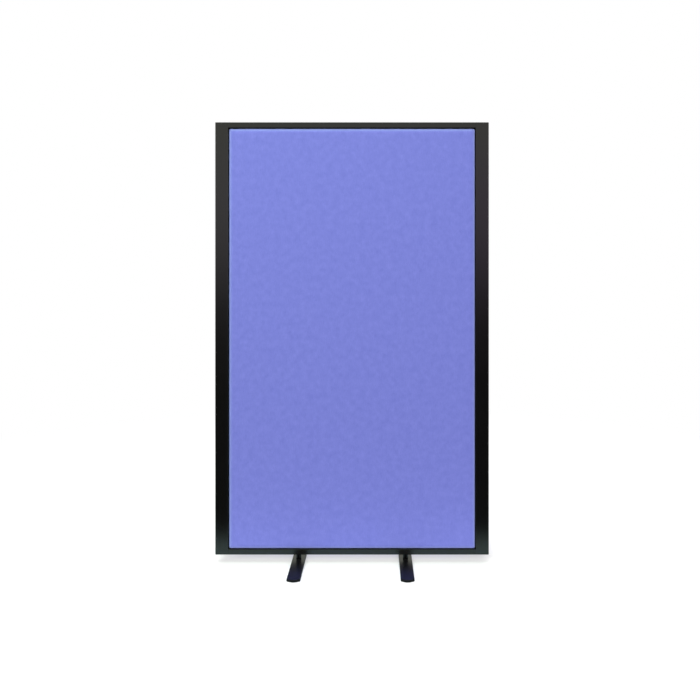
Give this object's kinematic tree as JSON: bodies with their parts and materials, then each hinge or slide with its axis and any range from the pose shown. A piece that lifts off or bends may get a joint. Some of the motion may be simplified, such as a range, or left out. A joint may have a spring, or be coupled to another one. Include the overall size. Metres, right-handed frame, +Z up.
{
  "type": "acoustic divider screen",
  "caption": "Free-standing acoustic divider: a black metal frame round a fabric panel, on flat swivel feet.",
  "frame": {"origin": "on the floor, under the middle of the screen", "axes": "+X along the screen to the right as seen from the front, the front faces -Y, +Z up"},
  "size_m": [1, 0.38, 1.611],
  "materials": {
    "frame_coating": "satin",
    "cover_strip_plastic": "satin",
    "cap_plastic": "matte",
    "zinc_steel": "satin",
    "core_fibreboard": "matte",
    "acoustic_foam": "matte",
    "panel_fabric": "matte",
    "foot_coating": "gloss",
    "neck_coating": "satin",
    "glide_nylon": "satin",
    "pad_rubber": "matte"
  },
  "bodies": {
    "frame": {"left_stile": "frame_coating", "right_stile": "frame_coating", "top_rail": "frame_coating", "bottom_rail": "frame_coating", "left_cover_strip": "cover_strip_plastic", "right_cover_strip": "cover_strip_plastic", "left_top_cap": "cap_plastic", "right_top_cap": "cap_plastic", "left_bottom_cap": "cap_plastic", "right_bottom_cap": "cap_plastic", "left_top_rail_screws": "zinc_steel", "right_top_rail_screws": "zinc_steel", "left_bottom_rail_screws": "zinc_steel", "right_bottom_rail_screws": "zinc_steel", "left_foot_bolt": "zinc_steel", "right_foot_bolt": "zinc_steel", "left_threaded_plate": "zinc_steel", "right_threaded_plate": "zinc_steel", "left_plate_screws": "zinc_steel", "right_plate_screws": "zinc_steel", "core_board": "core_fibreboard", "front_foam": "acoustic_foam", "front_fabric": "panel_fabric", "rear_foam": "acoustic_foam", "rear_fabric": "panel_fabric", "left_neck_sleeve": "neck_coating", "right_neck_sleeve": "neck_coating", "left_glide_washer": "glide_nylon", "right_glide_washer": "glide_nylon"},
    "left_foot": {"left_foot_bar": "foot_coating", "left_front_pad": "pad_rubber", "left_rear_pad": "pad_rubber"},
    "right_foot": {"right_foot_bar": "foot_coating", "right_front_pad": "pad_rubber", "right_rear_pad": "pad_rubber"}
  },
  "joints": [
    {"name": "left_foot_swivel", "type": "hinge", "parent": "frame", "child": "left_foot", "pos_m": [-0.196, 0, 0.006], "axis": [0, 0, 1], "range_deg": [-90, 90]},
    {"name": "right_foot_swivel", "type": "hinge", "parent": "frame", "child": "right_foot", "pos_m": [0.196, 0, 0.006], "axis": [0, 0, 1], "range_deg": [-90, 90]}
  ]
}
